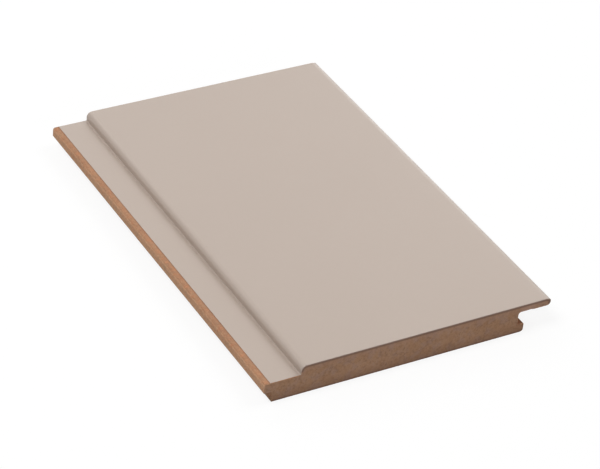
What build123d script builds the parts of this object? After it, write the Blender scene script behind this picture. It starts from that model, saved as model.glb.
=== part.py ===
"""MDF wall panel board: a short sawn length of lapped tongue and groove panelling.

The board lies on its back with the painted face up. X runs across the board from the
tongue to the lip, Y along its length and Z up through its thickness. The origin is at
the centre of the rectangle that the board covers, on the plane of its back.
All sizes are in millimetres.
"""

import os

from build123d import *

# Overall size
LENGTH = 220.0
WIDTH = 147.0
THICKNESS = 15.0

# Tongue at the left edge, with the rebate under it
TONGUE_REACH = 4.05
TONGUE_BOTTOM = 5.5
TONGUE_TOP_ROUND = 1.15
TONGUE_BOTTOM_ROUND = 0.4

# Flange that the next board's lip covers, and the step up to the face
FLANGE_WIDTH = 17.95
STEP_DEPTH = 4.6
STEP_ROOT_ROUND = 0.3
STEP_FACE_ROUND = 2.8

# Lip at the right edge: a rounded nose that the face falls to a little, and a shallow
# relief under its inner half
LIP_THICKNESS = 3.9
LIP_FALL = 0.45
LIP_FALL_WIDTH = 2.7
LIP_FALL_ROUND = 4.0
NOSE_TOP_ROUND = 1.5
NOSE_BOTTOM_ROUND = 1.95
RELIEF_DEPTH = 0.3
RELIEF_WIDTH = 6.8
RELIEF_RUN_OUT = 1.2

# Groove under the lip, and the lower tongue that closes it
GROOVE_DEPTH = 17.0
GROOVE_ROOT_ROUND = 1.5
LOWER_TONGUE_REACH = 3.6
LOWER_TONGUE_TOP = 4.25
LOWER_TONGUE_ROUND = 1.6

# Lines across the board
LEFT = -WIDTH / 2
RIGHT = WIDTH / 2
REBATE_WALL = LEFT + TONGUE_REACH
STEP_WALL = LEFT + FLANGE_WIDTH
FLANGE_TOP = THICKNESS - STEP_DEPTH
GROOVE_WALL = RIGHT - GROOVE_DEPTH
LOWER_TONGUE_TIP = GROOVE_WALL + LOWER_TONGUE_REACH
FALL_START = RIGHT - LIP_FALL_WIDTH
LIP_UNDERSIDE = THICKNESS - LIP_THICKNESS
RELIEF_TOP = LIP_UNDERSIDE + RELIEF_DEPTH
RELIEF_END = GROOVE_WALL + RELIEF_WIDTH


def round_corner(section, x, z, radius):
    """Round the corner of the section nearest to x, z."""
    corner = section.vertices().sort_by_distance((x, z, 0))[0]
    fillet(corner, radius)


with BuildPart() as board:
    with BuildSketch(Plane.XZ) as section:
        with BuildLine():
            # Lip, groove and lower tongue, the back, the tongue, then the flange and step
            Polyline(
                (FALL_START, THICKNESS),
                (RIGHT, THICKNESS - LIP_FALL),
                (RIGHT, LIP_UNDERSIDE),
                (RELIEF_END + RELIEF_RUN_OUT, LIP_UNDERSIDE),
                (RELIEF_END, RELIEF_TOP),
                (GROOVE_WALL, RELIEF_TOP),
                (GROOVE_WALL, LOWER_TONGUE_TOP),
                (LOWER_TONGUE_TIP, LOWER_TONGUE_TOP),
                (LOWER_TONGUE_TIP, 0),
                (REBATE_WALL, 0),
                (REBATE_WALL, TONGUE_BOTTOM),
                (LEFT, TONGUE_BOTTOM),
                (LEFT, FLANGE_TOP),
                (STEP_WALL, FLANGE_TOP),
                (STEP_WALL, THICKNESS),
                close=True,
            )
        make_face()
        round_corner(section, FALL_START, THICKNESS, LIP_FALL_ROUND)
        round_corner(section, RIGHT, THICKNESS - LIP_FALL, NOSE_TOP_ROUND)
        round_corner(section, RIGHT, LIP_UNDERSIDE, NOSE_BOTTOM_ROUND)
        round_corner(section, GROOVE_WALL, RELIEF_TOP, GROOVE_ROOT_ROUND)
        round_corner(section, LOWER_TONGUE_TIP, 0, LOWER_TONGUE_ROUND)
        round_corner(section, LEFT, TONGUE_BOTTOM, TONGUE_BOTTOM_ROUND)
        round_corner(section, LEFT, FLANGE_TOP, TONGUE_TOP_ROUND)
        round_corner(section, STEP_WALL, FLANGE_TOP, STEP_ROOT_ROUND)
        round_corner(section, STEP_WALL, THICKNESS, STEP_FACE_ROUND)
    extrude(amount=LENGTH / 2, both=True)

os.makedirs("parts", exist_ok=True)
export_step(board.part, "parts/wall_panel_board.step")
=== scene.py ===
import math

import bpy
import numpy as np
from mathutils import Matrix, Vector, noise
from mathutils.geometry import delaunay_2d_cdt


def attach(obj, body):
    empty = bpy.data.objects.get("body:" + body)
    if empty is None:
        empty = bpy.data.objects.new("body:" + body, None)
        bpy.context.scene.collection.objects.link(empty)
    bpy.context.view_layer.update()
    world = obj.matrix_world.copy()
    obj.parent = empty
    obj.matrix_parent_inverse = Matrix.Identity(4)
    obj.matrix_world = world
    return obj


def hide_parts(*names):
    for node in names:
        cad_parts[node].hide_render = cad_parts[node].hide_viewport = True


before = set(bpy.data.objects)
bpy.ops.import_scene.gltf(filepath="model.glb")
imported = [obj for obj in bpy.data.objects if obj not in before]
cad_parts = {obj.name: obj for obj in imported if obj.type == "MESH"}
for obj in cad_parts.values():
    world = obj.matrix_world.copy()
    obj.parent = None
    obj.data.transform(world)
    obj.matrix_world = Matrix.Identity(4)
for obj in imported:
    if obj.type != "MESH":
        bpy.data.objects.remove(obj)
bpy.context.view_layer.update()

MM_PER_M = 1000

# Section of the board in millimetres, with the same values as the CAD model
LENGTH = 220.0
WIDTH = 147.0
THICKNESS = 15.0
TONGUE_REACH = 4.05
TONGUE_BOTTOM = 5.5
TONGUE_TOP_ROUND = 1.15
TONGUE_BOTTOM_ROUND = 0.4
FLANGE_WIDTH = 17.95
STEP_DEPTH = 4.6
STEP_ROOT_ROUND = 0.3
STEP_FACE_ROUND = 2.8
LIP_THICKNESS = 3.9
LIP_FALL = 0.45
LIP_FALL_WIDTH = 2.7
LIP_FALL_ROUND = 4.0
NOSE_TOP_ROUND = 1.5
NOSE_BOTTOM_ROUND = 1.95
RELIEF_DEPTH = 0.3
RELIEF_WIDTH = 6.8
RELIEF_RUN_OUT = 1.2
GROOVE_DEPTH = 17.0
GROOVE_ROOT_ROUND = 1.5
LOWER_TONGUE_REACH = 3.6
LOWER_TONGUE_TOP = 4.25
LOWER_TONGUE_ROUND = 1.6

HALF_LENGTH = LENGTH / 2
LEFT = -WIDTH / 2
RIGHT = WIDTH / 2
REBATE_WALL = LEFT + TONGUE_REACH
STEP_WALL = LEFT + FLANGE_WIDTH
FLANGE_TOP = THICKNESS - STEP_DEPTH
GROOVE_WALL = RIGHT - GROOVE_DEPTH
LOWER_TONGUE_TIP = GROOVE_WALL + LOWER_TONGUE_REACH
FALL_START = RIGHT - LIP_FALL_WIDTH
NOSE_START = RIGHT - NOSE_BOTTOM_ROUND
LIP_UNDERSIDE = THICKNESS - LIP_THICKNESS
RELIEF_TOP = LIP_UNDERSIDE + RELIEF_DEPTH
RELIEF_END = GROOVE_WALL + RELIEF_WIDTH

# Where the coating ends, and how far it stands above the bare board
PAINT_EDGE = LEFT + 3.0
PAINT_FILM = 0.1
LIP_PAINT_END = NOSE_START - 1.2

# How far down its rounded edges the face keeps the dense skin of the pressed sheet
SKIN_REACH = 2.2

# Spacing of the mesh. The ends' inner points are jittered and keep off the section's line
EDGE_STEP = 0.5
ARC_STEP = 0.22
ARC_LEAST = 4
CAP_STEP = 0.5
CAP_JITTER = 0.14
CAP_MARGIN = 0.28
CAP_SEEDS = {-1: 11, 1: 12}
Y_STATIONS = (0.6, 1.5, 3.5, 8.0, 15.0, 25.0, 38.0, 53.0, 70.0, 89.0, 110.0)
ON_LINE = 1e-6
MERGE_GAP = 1e-7
SHARP_ANGLE = math.radians(32)

# Sawn arris: a chamfer of uneven width, wider where fibres tore and on the coated flange
ARRIS_MEAN = 0.07
ARRIS_WAVE, ARRIS_WAVE_SIZE, ARRIS_WAVE_Y = 0.05, 1.1, 31.0
ARRIS_TEAR, ARRIS_TEAR_SIZE, ARRIS_TEAR_Y = 0.1, 4.0, 77.0
ARRIS_TEAR_FROM = 0.45
ARRIS_LEAST, ARRIS_MOST = 0.03, 0.25
FLANGE_WEAR = 0.1
FLANGE_WEAR_END = STEP_WALL - 0.6

# Relief of the sawn ends: torn fibres that lie along X, slower waves, and the saw's arcs.
# It is shallower in the dense skins, and fades out beside the section's line
TORN_MEAN = 0.03
TORN_FIBRE, TORN_FIBRE_SIZE, TORN_FIBRE_Y = 0.035, 1.4, 9.0
TORN_WAVE, TORN_WAVE_SIZE, TORN_WAVE_Y = 0.03, 6.0, 5.0
FIBRE_FLATTEN = 2.2
SKIN_DEPTH = 2.2
SKIN_SHARE = 0.35
SAW_DEPTH, SAW_PITCH = 0.01, 1.15
SAW_X, SAW_Z = -60.0, 190.0
RELIEF_EASE = 0.6

COAT, MILLED, BACK, SAWN = range(4)


# Section outline

def line(start, end):
    """Points from start up to but not including end."""
    count = max(1, round(math.dist(start, end) / EDGE_STEP))
    return [
        (start[0] + (end[0] - start[0]) * k / count, start[1] + (end[1] - start[1]) * k / count)
        for k in range(count)
    ]


def arc(x, z, radius, first, last):
    """Points on an arc, without its last one. Angles in degrees, 0 along +X."""
    count = max(ARC_LEAST, round(math.radians(abs(last - first)) * radius / ARC_STEP))
    angles = [math.radians(first + (last - first) * k / count) for k in range(count)]
    return [(x + radius * math.cos(a), z + radius * math.sin(a)) for a in angles]


def outline():
    """The section's points in order, and the finish of the strip that starts at each."""
    root, face, nose = STEP_ROOT_ROUND, STEP_FACE_ROUND, NOSE_BOTTOM_ROUND
    groove, low = GROOVE_ROOT_ROUND, LOWER_TONGUE_ROUND
    under, top = TONGUE_BOTTOM_ROUND, TONGUE_TOP_ROUND
    bare_top = FLANGE_TOP - PAINT_FILM

    # The face falls to the lip at a small angle, eased in by an arc and out by the nose
    tilt = math.atan2(LIP_FALL, LIP_FALL_WIDTH)
    ease_x = FALL_START - LIP_FALL_ROUND * math.tan(tilt / 2)
    ease = arc(ease_x, THICKNESS - LIP_FALL_ROUND, LIP_FALL_ROUND, 90, 90 - math.degrees(tilt))
    ease_end = (
        ease_x + LIP_FALL_ROUND * math.sin(tilt),
        THICKNESS - LIP_FALL_ROUND * (1 - math.cos(tilt)),
    )
    top_r = NOSE_TOP_ROUND
    top_x = RIGHT - top_r
    top_z = THICKNESS - (top_r + (top_x - FALL_START) * math.sin(tilt)) / math.cos(tilt)
    coat = (
        line((PAINT_EDGE, FLANGE_TOP), (STEP_WALL - root, FLANGE_TOP))
        + arc(STEP_WALL - root, FLANGE_TOP + root, root, -90, 0)
        + line((STEP_WALL, FLANGE_TOP + root), (STEP_WALL, THICKNESS - face))
        + arc(STEP_WALL + face, THICKNESS - face, face, 180, 90)
        + line((STEP_WALL + face, THICKNESS), (ease_x, THICKNESS))
        + ease
        + line(ease_end, (top_x + top_r * math.sin(tilt), top_z + top_r * math.cos(tilt)))
        + arc(top_x, top_z, top_r, 90 - math.degrees(tilt), 0)
        + line((RIGHT, top_z), (RIGHT, LIP_UNDERSIDE + nose))
        + arc(NOSE_START, LIP_UNDERSIDE + nose, nose, 0, -90)
        + line((NOSE_START, LIP_UNDERSIDE), (LIP_PAINT_END, LIP_UNDERSIDE))
    )
    grooved = (
        line((LIP_PAINT_END, LIP_UNDERSIDE), (RELIEF_END + RELIEF_RUN_OUT, LIP_UNDERSIDE))
        + line((RELIEF_END + RELIEF_RUN_OUT, LIP_UNDERSIDE), (RELIEF_END, RELIEF_TOP))
        + line((RELIEF_END, RELIEF_TOP), (GROOVE_WALL + groove, RELIEF_TOP))
        + arc(GROOVE_WALL + groove, RELIEF_TOP - groove, groove, 90, 180)
        + line((GROOVE_WALL, RELIEF_TOP - groove), (GROOVE_WALL, LOWER_TONGUE_TOP))
        + line((GROOVE_WALL, LOWER_TONGUE_TOP), (LOWER_TONGUE_TIP, LOWER_TONGUE_TOP))
        + line((LOWER_TONGUE_TIP, LOWER_TONGUE_TOP), (LOWER_TONGUE_TIP, low))
        + arc(LOWER_TONGUE_TIP - low, low, low, 0, -90)
    )
    back = line((LOWER_TONGUE_TIP - low, 0), (REBATE_WALL, 0))
    tongued = (
        line((REBATE_WALL, 0), (REBATE_WALL, TONGUE_BOTTOM))
        + line((REBATE_WALL, TONGUE_BOTTOM), (LEFT + under, TONGUE_BOTTOM))
        + arc(LEFT + under, TONGUE_BOTTOM + under, under, 270, 180)
        + line((LEFT, TONGUE_BOTTOM + under), (LEFT, bare_top - top))
        + arc(LEFT + top, bare_top - top, top, 180, 90)
        + line((LEFT + top, bare_top), (PAINT_EDGE, bare_top))
        + [(PAINT_EDGE, bare_top)]
    )
    points = coat + grooved + back + tongued
    finish = (
        [COAT] * len(coat) + [MILLED] * len(grooved) + [BACK] * len(back) + [MILLED] * len(tongued)
    )
    return np.array(points), finish


def distance_to(points, starts, ends):
    """Distance from each point to the nearest of a set of straight pieces."""
    along = ends - starts
    length2 = (along ** 2).sum(1)
    nearest = np.full(len(points), np.inf)
    for s, d, l2 in zip(starts, along, length2):
        t = np.clip(((points - s) @ d) / l2, 0, 1)
        gap = points - (s + t[:, None] * d)
        nearest = np.minimum(nearest, np.hypot(gap[:, 0], gap[:, 1]))
    return nearest


def inside(points, polygon):
    """Which points lie inside a closed polygon."""
    x, z = points[:, 0], points[:, 1]
    odd = np.zeros(len(points), bool)
    for (ax, az), (bx, bz) in zip(polygon, np.roll(polygon, -1, 0)):
        crosses = (az > z) != (bz > z)
        if az != bz:
            odd ^= crosses & (x < (bx - ax) * (z - az) / (bz - az) + ax)
    return odd


def noise_at(x, y, z, size, octaves=3):
    """Fractal noise from about -1 to 1, with features of the given size in millimetres."""
    return noise.fractal(Vector((x / size, y / size, z / size)), 1.0, 2.0, octaves)


def arris_width(x, z, side):
    """Width of the sawn arris at a point of the section. side is -1 near and 1 far."""
    wave = noise_at(x, side * ARRIS_WAVE_Y, z, ARRIS_WAVE_SIZE)
    tear = noise_at(x, side * ARRIS_TEAR_Y, z, ARRIS_TEAR_SIZE)
    return ARRIS_MEAN + ARRIS_WAVE * wave + ARRIS_TEAR * max(0.0, tear - ARRIS_TEAR_FROM)


def saw_depth(x, z, side, room):
    """How far the sawn end lies in from its plane, room being the gap to the outline."""
    core = min(1.0, z / SKIN_DEPTH) * min(1.0, (THICKNESS - z) / SKIN_DEPTH)
    torn = (
        TORN_MEAN
        + TORN_FIBRE * noise_at(x, side * TORN_FIBRE_Y, z * FIBRE_FLATTEN, TORN_FIBRE_SIZE)
        + TORN_WAVE * noise_at(x, side * TORN_WAVE_Y, z, TORN_WAVE_SIZE)
    )
    from_saw = math.hypot(x - SAW_X, z - SAW_Z)
    score = SAW_DEPTH * math.sin(2 * math.pi * from_saw / SAW_PITCH)
    depth = max(0.0, torn * (SKIN_SHARE + (1 - SKIN_SHARE) * core) + score)
    return depth * min(1.0, room / RELIEF_EASE)


def build_board():
    """One closed mesh: long strips round the section, and two sawn ends with their relief."""
    ring, finish = outline()
    n = len(ring)
    ahead, behind = np.roll(ring, -1, 0), np.roll(ring, 1, 0)
    tangent = ahead - behind
    tangent /= np.hypot(tangent[:, 0], tangent[:, 1])[:, None]
    inward = np.stack([tangent[:, 1], -tangent[:, 0]], 1)

    verts, faces, slots, skin = [], [], [], []

    # The sheet's own face, for the dense skin under it on the sawn ends
    skinned = np.array([f == COAT for f in finish]) & (ring[:, 1] > THICKNESS - SKIN_REACH)
    skin_starts, skin_ends = ring[skinned], ahead[skinned]
    rim_depth = distance_to(ring, skin_starts, skin_ends)

    # The saw lifts the coating a little where it leaves the flange
    worn = (ring[:, 0] < FLANGE_WEAR_END) & (np.abs(ring[:, 1] - FLANGE_TOP) < ON_LINE)

    def add_ring(points, ys):
        base = len(verts)
        for (x, z), y, d in zip(points, ys, rim_depth):
            verts.append((x, y, z))
            skin.append(float(d))
        return base

    def end_rings(side):
        """Both rings of one sawn arris, and the points of the inner one."""
        chip = np.array([arris_width(x, z, side) for x, z in ring])
        chip = np.clip(chip, ARRIS_LEAST, ARRIS_MOST) + np.where(worn, FLANGE_WEAR, 0.0)
        edge = side * HALF_LENGTH
        outer = add_ring(ring, edge - side * chip)
        cap_points = ring + inward * chip[:, None]
        cap = add_ring(cap_points, np.full(n, edge))
        return cap, outer, cap_points

    near_cap, near_outer, near_points = end_rings(-1)
    starts = [near_cap, near_outer]
    offsets = list(Y_STATIONS) + [LENGTH - s for s in reversed(Y_STATIONS[:-1])]
    for s in offsets:
        starts.append(add_ring(ring, np.full(n, s - HALF_LENGTH)))
    far_cap, far_outer, far_points = end_rings(1)
    starts += [far_outer, far_cap]

    for row, (a, b) in enumerate(zip(starts, starts[1:])):
        arris = row in (0, len(starts) - 2)
        for i in range(n):
            j = (i + 1) % n
            faces.append((a + i, b + i, b + j, a + j))
            if arris and finish[i] != COAT:
                slots.append(SAWN)
            else:
                slots.append(MILLED if arris and worn[i] else finish[i])

    def add_cap(cap, points, side):
        """A sawn end: a jittered grid inside its ring, sunk by the relief."""
        xs = np.arange(LEFT + CAP_STEP / 2, RIGHT, CAP_STEP)
        zs = np.arange(CAP_STEP / 2, THICKNESS, CAP_STEP)
        rng = np.random.default_rng(CAP_SEEDS[side])
        gx, gz = np.meshgrid(xs, zs)
        jitter = rng.uniform(-CAP_JITTER, CAP_JITTER, (gx.size, 2))
        grid = np.stack([gx.ravel(), gz.ravel()], 1) + jitter
        grid = grid[inside(grid, points)]
        gap = distance_to(grid, points, np.roll(points, -1, 0))
        grid, gap = grid[gap > CAP_MARGIN], gap[gap > CAP_MARGIN]
        flat = [Vector(p) for p in points] + [Vector(p) for p in grid]
        edges = [(i, (i + 1) % n) for i in range(n)]
        _, _, tris, origins, _, _ = delaunay_2d_cdt(flat, edges, [], 1, MERGE_GAP)
        depth = distance_to(grid, skin_starts, skin_ends)
        base = len(verts)
        for (x, z), room, d in zip(grid, gap, depth):
            verts.append((x, side * (HALF_LENGTH - saw_depth(x, z, side, room)), z))
            skin.append(float(d))
        index = {}
        for k, group in enumerate(origins):
            first = min(group)
            index[k] = cap + first if first < n else base + first - n
        for tri in tris:
            t = [index[k] for k in tri]
            faces.append(t if side < 0 else t[::-1])
            slots.append(SAWN)

    add_cap(near_cap, near_points, -1)
    add_cap(far_cap, far_points, 1)

    mesh = bpy.data.meshes.new("panel_board")
    mesh.from_pydata([(x / MM_PER_M, y / MM_PER_M, z / MM_PER_M) for x, y, z in verts], [], faces)
    mesh.polygons.foreach_set("material_index", slots)
    cap_skin = mesh.attributes.new("skin_mm", "FLOAT", "POINT")
    cap_skin.data.foreach_set("value", np.array(skin, np.float32))
    mesh.polygons.foreach_set("use_smooth", [True] * len(mesh.polygons))
    mesh.set_sharp_from_angle(angle=SHARP_ANGLE)
    mesh.update()
    board = bpy.data.objects.new("panel_board", mesh)
    bpy.context.scene.collection.objects.link(board)
    return board


# Materials

WHITE = (1, 1, 1, 1)

# Sockets of the colour mix node, which shares their names with its other kinds
MIX_A, MIX_B, MIX_RESULT = 6, 7, 2

# Shade in the step's root: the middle of its round, and the squares of the distances from
# there between which it fades
ROOT_SHADE_IN = 0.15
ROOT_SHADE_FADE = (0.1, 0.02)

# Cutter marks of the moulder, and the wave scale that repeats once in every unit
CUTTER_PITCH = 1.7
WAVE_UNIT = 0.314


def srgb(r, g, b):
    """Scene-linear colour of an 8-bit sRGB value."""
    def lin(v):
        v /= 255
        return v / 12.92 if v <= 0.04045 else ((v + 0.055) / 1.055) ** 2.4
    return (lin(r), lin(g), lin(b), 1.0)


class Graph:
    """Short names for the nodes of one material. Coordinates are in millimetres."""

    def __init__(self, name):
        self.material = bpy.data.materials.new(name)
        self.material.use_nodes = True
        self.nodes = self.material.node_tree.nodes
        self.links = self.material.node_tree.links
        self.nodes.clear()
        self.output = self.nodes.new("ShaderNodeOutputMaterial")
        self.shader = self.nodes.new("ShaderNodeBsdfPrincipled")
        self.links.new(self.shader.outputs["BSDF"], self.output.inputs["Surface"])
        where = self.nodes.new("ShaderNodeTexCoord")
        self.mm = self.scaled(where.outputs["Object"], (MM_PER_M, MM_PER_M, MM_PER_M))

    def put(self, value, socket):
        """Link a socket to another, or set its constant."""
        if isinstance(value, bpy.types.NodeSocket):
            self.links.new(value, socket)
        else:
            socket.default_value = value

    def scaled(self, vector, scale, turn=(0, 0, 0)):
        node = self.nodes.new("ShaderNodeMapping")
        self.put(vector, node.inputs["Vector"])
        node.inputs["Scale"].default_value = scale
        node.inputs["Rotation"].default_value = turn
        return node.outputs["Vector"]

    def place(self):
        """The sockets X, Y and Z of the point."""
        node = self.nodes.new("ShaderNodeSeparateXYZ")
        self.put(self.mm, node.inputs[0])
        return node.outputs

    def noise(self, size, detail=3.0, rough=0.5, stretch=(1, 1, 1), turn=None):
        """Noise with features of about size millimetres, longer where stretch is above 1.

        With turn, in radians about Y, its pattern doesn't line up with the section.
        """
        vector = self.mm if turn is None else self.scaled(self.mm, (1, 1, 1), (0.0, turn, 0.0))
        node = self.nodes.new("ShaderNodeTexNoise")
        scale = tuple(1 / (size * s) for s in stretch)
        self.put(self.scaled(vector, scale), node.inputs["Vector"])
        node.inputs["Scale"].default_value = 1.0
        node.inputs["Detail"].default_value = detail
        node.inputs["Roughness"].default_value = rough
        return node.outputs["Fac"]

    def ramp(self, value, low, high, out_low=0.0, out_high=1.0):
        """A smooth step from out_low to out_high, as value goes from low to high."""
        node = self.nodes.new("ShaderNodeMapRange")
        node.interpolation_type = "SMOOTHSTEP"
        self.put(value, node.inputs["Value"])
        node.inputs["From Min"].default_value = low
        node.inputs["From Max"].default_value = high
        node.inputs["To Min"].default_value = out_low
        node.inputs["To Max"].default_value = out_high
        return node.outputs["Result"]

    def math(self, how, a, b=0.0):
        node = self.nodes.new("ShaderNodeMath")
        node.operation = how
        self.put(a, node.inputs[0])
        self.put(b, node.inputs[1])
        return node.outputs[0]

    def mix(self, factor, a, b):
        node = self.nodes.new("ShaderNodeMix")
        node.data_type = "RGBA"
        self.put(factor, node.inputs["Factor"])
        self.put(a, node.inputs[MIX_A])
        self.put(b, node.inputs[MIX_B])
        return node.outputs[MIX_RESULT]

    def tinted(self, colour, *tints):
        """The colour after each tint: a value, its low and high, the tint's share, its sRGB."""
        for value, low, high, share, tint in tints:
            colour = self.mix(self.ramp(value, low, high, 0.0, share), colour, srgb(*tint))
        return colour

    def bump(self, height, depth_mm, strength, normal=None):
        node = self.nodes.new("ShaderNodeBump")
        self.put(height, node.inputs["Height"])
        node.inputs["Distance"].default_value = depth_mm / MM_PER_M
        node.inputs["Strength"].default_value = strength
        if normal is not None:
            self.put(normal, node.inputs["Normal"])
        return node.outputs["Normal"]

    def finish(self, colour, roughness, normal, specular):
        self.put(colour, self.shader.inputs["Base Color"])
        self.put(roughness, self.shader.inputs["Roughness"])
        self.put(normal, self.shader.inputs["Normal"])
        self.shader.inputs["Specular IOR Level"].default_value = specular
        return self.material


def coat_material():
    """Factory coating: even greige, satin, with a very fine sprayed texture."""
    g = Graph("satin_coating")
    drift = g.noise(60.0, detail=2.0)
    fine = g.noise(2.5)
    colour = g.mix(g.ramp(drift, 0.3, 0.7), srgb(184, 168, 156), srgb(185, 169, 157))
    colour = g.tinted(colour, (fine, 0.35, 0.75, 0.25, (182, 166, 154)))
    place = g.place()
    from_wall = g.math("SUBTRACT", place["X"], STEP_WALL - ROOT_SHADE_IN)
    from_flange = g.math("SUBTRACT", place["Z"], FLANGE_TOP + ROOT_SHADE_IN)
    square = g.math(
        "ADD",
        g.math("MULTIPLY", from_wall, from_wall),
        g.math("MULTIPLY", from_flange, from_flange),
    )
    colour = g.tinted(colour, (square, *ROOT_SHADE_FADE, 0.1, (132, 116, 104)))
    peel = g.noise(1.1, detail=2.0, rough=0.4)
    grain = g.noise(0.28, detail=2.0)
    normal = g.bump(peel, 0.012, 0.6)
    normal = g.bump(grain, 0.004, 0.5, normal)
    rough = g.ramp(g.noise(9.0, detail=2.0), 0.3, 0.7, 0.36, 0.38)
    return g.finish(colour, rough, normal, 0.5)


def milled_material():
    """Bare board cut by the moulder: warm brown, with fibres and faint cutter marks, and painted
    light on its lower faces and towards the groove.
    """
    g = Graph("milled_mdf")
    fibre = g.noise(0.45, rough=0.6, stretch=(1.0, 1.4, 1.0))
    cloud = g.noise(1.6, rough=0.6)
    drift = g.noise(20.0, detail=2.0)
    tint = g.noise(2.6, detail=2.0, turn=0.7)
    place = g.place()

    # Painted light: the faces below the tongue's top are a lighter copy of the top's colour, and
    # lighter still towards the groove, whose inside lies in shade under the lip
    below = g.ramp(place["Z"], FLANGE_TOP - 0.3, FLANGE_TOP - 0.7)
    spread = g.math(
        "ADD", g.ramp(cloud, 0.3, 0.7, 0.0, 0.68), g.ramp(drift, 0.35, 0.65, 0.0, 0.32)
    )
    top = g.mix(spread, srgb(166, 121, 93), srgb(187, 140, 107))
    colour = g.mix(below, top, g.mix(spread, srgb(193, 149, 117), srgb(214, 168, 133)))
    colour = g.tinted(
        colour,
        (place["X"], 0.0, GROOVE_WALL - 2, 0.6, (232, 184, 150)),
        (tint, 0.52, 0.7, 0.4, (202, 132, 93)),
        (tint, 0.48, 0.3, 0.4, (170, 139, 112)),
        (fibre, 0.54, 0.76, 0.65, (132, 92, 66)),
        (fibre, 0.45, 0.24, 0.6, (214, 172, 138)),
    )

    # A darker line beside the edge of the coating
    beside = g.ramp(place["X"], PAINT_EDGE - 0.75, PAINT_EDGE - 0.3, 0.0, 0.35)
    beside = g.math("MULTIPLY", beside, g.math("LESS_THAN", place["X"], PAINT_EDGE + 1.0))
    colour = g.mix(beside, colour, srgb(128, 98, 80))

    marks = g.nodes.new("ShaderNodeTexWave")
    marks.bands_direction = "Y"
    g.put(g.scaled(g.mm, (1, 1 / CUTTER_PITCH, 1)), marks.inputs["Vector"])
    marks.inputs["Scale"].default_value = WAVE_UNIT
    marks.inputs["Distortion"].default_value = 0.4
    normal = g.bump(marks.outputs["Fac"], 0.008, 0.5)
    normal = g.bump(fibre, 0.05, 0.7, normal)
    rough = g.ramp(fibre, 0.3, 0.7, 0.78, 0.92)
    return g.finish(colour, rough, normal, 0.25)


def sawn_material():
    """Sawn end: darker brown, mottled, with dense skins at the coated face and the back, and
    painted shade towards the back.
    """
    g = Graph("sawn_mdf")
    place = g.place()
    skin = g.nodes.new("ShaderNodeAttribute")
    skin.attribute_name = "skin_mm"
    depth = skin.outputs["Fac"]
    drift = g.noise(16.0, detail=2.0, turn=1.3)
    cloud = g.noise(1.2, rough=0.6)
    warm = g.noise(3.6, detail=2.0, turn=0.7)
    fleck = g.noise(0.45, detail=4.0, rough=0.62, stretch=(1.2, 1.0, 1.0))
    colour = g.mix(g.ramp(drift, 0.3, 0.7), srgb(175, 136, 109), srgb(194, 153, 125))
    colour = g.tinted(
        colour,
        (cloud, 0.34, 0.66, 0.6, (203, 164, 136)),
        (cloud, 0.5, 0.25, 0.6, (152, 114, 90)),
        (warm, 0.35, 0.65, 0.45, (190, 143, 106)),
        (warm, 0.5, 0.3, 0.45, (182, 147, 131)),
        (fleck, 0.55, 0.8, 0.45, (132, 96, 73)),
        (fleck, 0.42, 0.2, 0.35, (221, 185, 156)),
        (depth, 4.5, 2.0, 0.25, (196, 158, 138)),
    )

    # The inner half of the lip's end is paler and pinker
    lip = g.math(
        "MULTIPLY",
        g.ramp(place["X"], GROOVE_WALL, GROOVE_WALL + 2),
        g.ramp(place["Z"], LIP_UNDERSIDE - 1, LIP_UNDERSIDE, 0.0, 0.36),
    )
    lip = g.math("MULTIPLY", lip, g.ramp(place["X"], GROOVE_WALL + 11, GROOVE_WALL + 7))
    colour = g.mix(lip, colour, srgb(214, 172, 156))

    # Dense skins: pale right under the coating and dark below that. Painted shade darkens the end
    # towards the back, and its last millimetre is darker still from the back's dense skin together
    # with painted contact shade
    colour = g.tinted(
        colour,
        (depth, 1.7, 0.8, 0.68, (124, 97, 86)),
        (depth, 0.8, 0.1, 0.75, (190, 165, 152)),
        (place["Z"], 6.5, -0.5, 0.42, (136, 100, 82)),
        (place["Z"], 1.3, 0.1, 0.45, (104, 78, 68)),
    )
    normal = g.bump(fleck, 0.07, 0.8)
    rough = g.ramp(fleck, 0.3, 0.7, 0.86, 0.96)
    return g.finish(colour, rough, normal, 0.2)


def back_material():
    """Sanded back: bare board, smoother than the milled edges."""
    g = Graph("sanded_mdf")
    fibre = g.noise(0.5, detail=4.0, rough=0.6)
    cloud = g.noise(14.0)
    scratch = g.noise(0.25, detail=2.0, stretch=(1.0, 30.0, 1.0))
    colour = g.mix(g.ramp(cloud, 0.3, 0.7), srgb(168, 128, 98), srgb(182, 143, 112))
    colour = g.tinted(
        colour,
        (fibre, 0.56, 0.8, 0.5, (134, 98, 72)),
        (fibre, 0.42, 0.22, 0.35, (204, 168, 138)),
    )
    normal = g.bump(fibre, 0.03, 0.5)
    normal = g.bump(scratch, 0.01, 0.4, normal)
    rough = g.ramp(fibre, 0.3, 0.7, 0.66, 0.78)
    return g.finish(colour, rough, normal, 0.3)


board = build_board()
for make in (coat_material, milled_material, back_material, sawn_material):
    board.data.materials.append(make())
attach(board, "root")
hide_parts("wall_panel_board")


# Floor: white to the camera, and it keeps part of the shadow

FLOOR_REACH = 6.0
FLOOR_DROP = 0.0001
FLOOR_BOUNCE = 0.45
FLOOR_SHADE = 0.14
FLOOR_GLOW = 0.872


def seen_directly(nodes, links):
    """1 for rays from the camera, off a gloss or through glass, and 0 for all others."""
    path = nodes.new("ShaderNodeLightPath")
    seen = path.outputs["Is Camera Ray"]
    for ray in ("Is Glossy Ray", "Is Transmission Ray"):
        either = nodes.new("ShaderNodeMath")
        either.operation = "MAXIMUM"
        links.new(seen, either.inputs[0])
        links.new(path.outputs[ray], either.inputs[1])
        seen = either.outputs[0]
    return seen


def chosen(nodes, links, otherwise, direct):
    """A shader for rays that see it directly, and another for all others."""
    node = nodes.new("ShaderNodeMixShader")
    links.new(seen_directly(nodes, links), node.inputs[0])
    links.new(otherwise, node.inputs[1])
    links.new(direct, node.inputs[2])
    return node.outputs[0]


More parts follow.
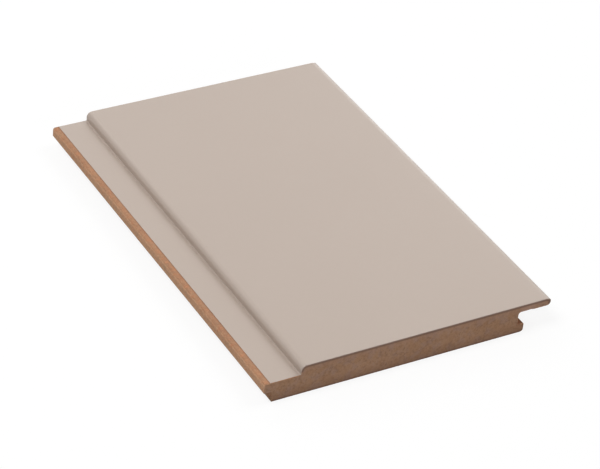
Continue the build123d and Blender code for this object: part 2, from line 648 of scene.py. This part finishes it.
def floor_material():
    """Dull to the light, and to the camera a glow with a little shade on it."""
    g = Graph("studio_floor")
    g.nodes.remove(g.shader)

    def diffuse(shade):
        node = g.nodes.new("ShaderNodeBsdfDiffuse")
        node.inputs["Color"].default_value = (shade, shade, shade, 1)
        return node.outputs[0]

    glow = g.nodes.new("ShaderNodeEmission")
    glow.inputs["Color"].default_value = WHITE
    glow.inputs["Strength"].default_value = FLOOR_GLOW
    shown = g.nodes.new("ShaderNodeAddShader")
    g.links.new(diffuse(FLOOR_SHADE), shown.inputs[0])
    g.links.new(glow.outputs[0], shown.inputs[1])
    surface = chosen(g.nodes, g.links, diffuse(FLOOR_BOUNCE), shown.outputs[0])
    g.links.new(surface, g.output.inputs["Surface"])
    return g.material


floor_mesh = bpy.data.meshes.new("studio_floor")
floor_mesh.from_pydata(
    [
        (x * FLOOR_REACH, y * FLOOR_REACH, -FLOOR_DROP)
        for x, y in ((-1, -1), (1, -1), (1, 1), (-1, 1))
    ],
    [], [(0, 1, 2, 3)],
)
floor = bpy.data.objects.new("studio_floor", floor_mesh)
bpy.context.scene.collection.objects.link(floor)
floor_mesh.materials.append(floor_material())


# Light: a faint even dome, and soft lamps round the board

AMBIENT = 0.04
SEEN_WHITE = 1.0

# Name, place in metres, diameter and power of each lamp. The last two are smaller, and are
# there for the light on the rounds of the lip and the step
LAMPS = (
    ("left", (-1.5, 0.0, 2.598), 1.5, 43.9),
    ("right", (2.121, 0.0, 2.121), 1.5, 18.0),
    ("right_high", (1.5, 0.0, 2.598), 1.5, 11.2),
    ("front_low", (0.0, -2.898, 0.776), 1.5, 16.6),
    ("behind", (0.0, 2.598, 1.5), 1.5, 13.0),
    ("left_behind", (-1.5, 1.5, 2.121), 1.5, 11.4),
    ("mirror", (1.302, 2.084, 1.721), 1.5, 5.0),
    ("lip_glint", (1.909, 2.12, 0.927), 0.8, 5.7),
    ("step_glint", (-2.11, 2.11, 0.314), 0.8, 2.2),
)

world = bpy.data.worlds.new("studio")
bpy.context.scene.world = world
world.use_nodes = True
world_nodes, world_links = world.node_tree.nodes, world.node_tree.links
world_nodes.clear()


def dome(strength):
    """An even white background."""
    node = world_nodes.new("ShaderNodeBackground")
    node.inputs["Color"].default_value = WHITE
    node.inputs["Strength"].default_value = strength
    return node.outputs[0]


def softbox(name, place, size, power):
    """A round soft lamp that faces the board."""
    data = bpy.data.lights.new(name, "AREA")
    data.shape = "DISK"
    data.size = size
    data.energy = power
    lamp = bpy.data.objects.new(name, data)
    lamp.location = place
    lamp.rotation_euler = (-Vector(place)).to_track_quat("-Z", "Y").to_euler()
    bpy.context.scene.collection.objects.link(lamp)


world_out = world_nodes.new("ShaderNodeOutputWorld")
world_links.new(
    chosen(world_nodes, world_links, dome(AMBIENT), dome(SEEN_WHITE)),
    world_out.inputs["Surface"],
)
for lamp in LAMPS:
    softbox(*lamp)


# Camera: the photograph's own view, solved from the board's edges

CAMERA_AT = Vector((-0.52952, -0.86758, 0.70379))
CAMERA_AIM = Vector((-0.002815, -0.013045, 0.0075))
CAMERA_ROLL = math.radians(5.2208)
SENSOR_WIDTH = 36.0
LENS = 156.895
CLIP_NEAR, CLIP_FAR = 0.05, 50.0

camera_data = bpy.data.cameras.new("camera")
camera_data.sensor_fit = "HORIZONTAL"
camera_data.sensor_width = SENSOR_WIDTH
camera_data.lens = LENS
camera_data.clip_start, camera_data.clip_end = CLIP_NEAR, CLIP_FAR
camera = bpy.data.objects.new("camera", camera_data)
bpy.context.scene.collection.objects.link(camera)
view = (CAMERA_AIM - CAMERA_AT).to_track_quat("-Z", "Y")
camera.rotation_mode = "QUATERNION"
camera.rotation_quaternion = view @ Vector((1, 0, 0)).rotation_difference(
    Vector((math.cos(CAMERA_ROLL), math.sin(CAMERA_ROLL), 0))
)
camera.location = CAMERA_AT
bpy.context.scene.camera = camera
bpy.context.scene.view_settings.view_transform = "Standard"
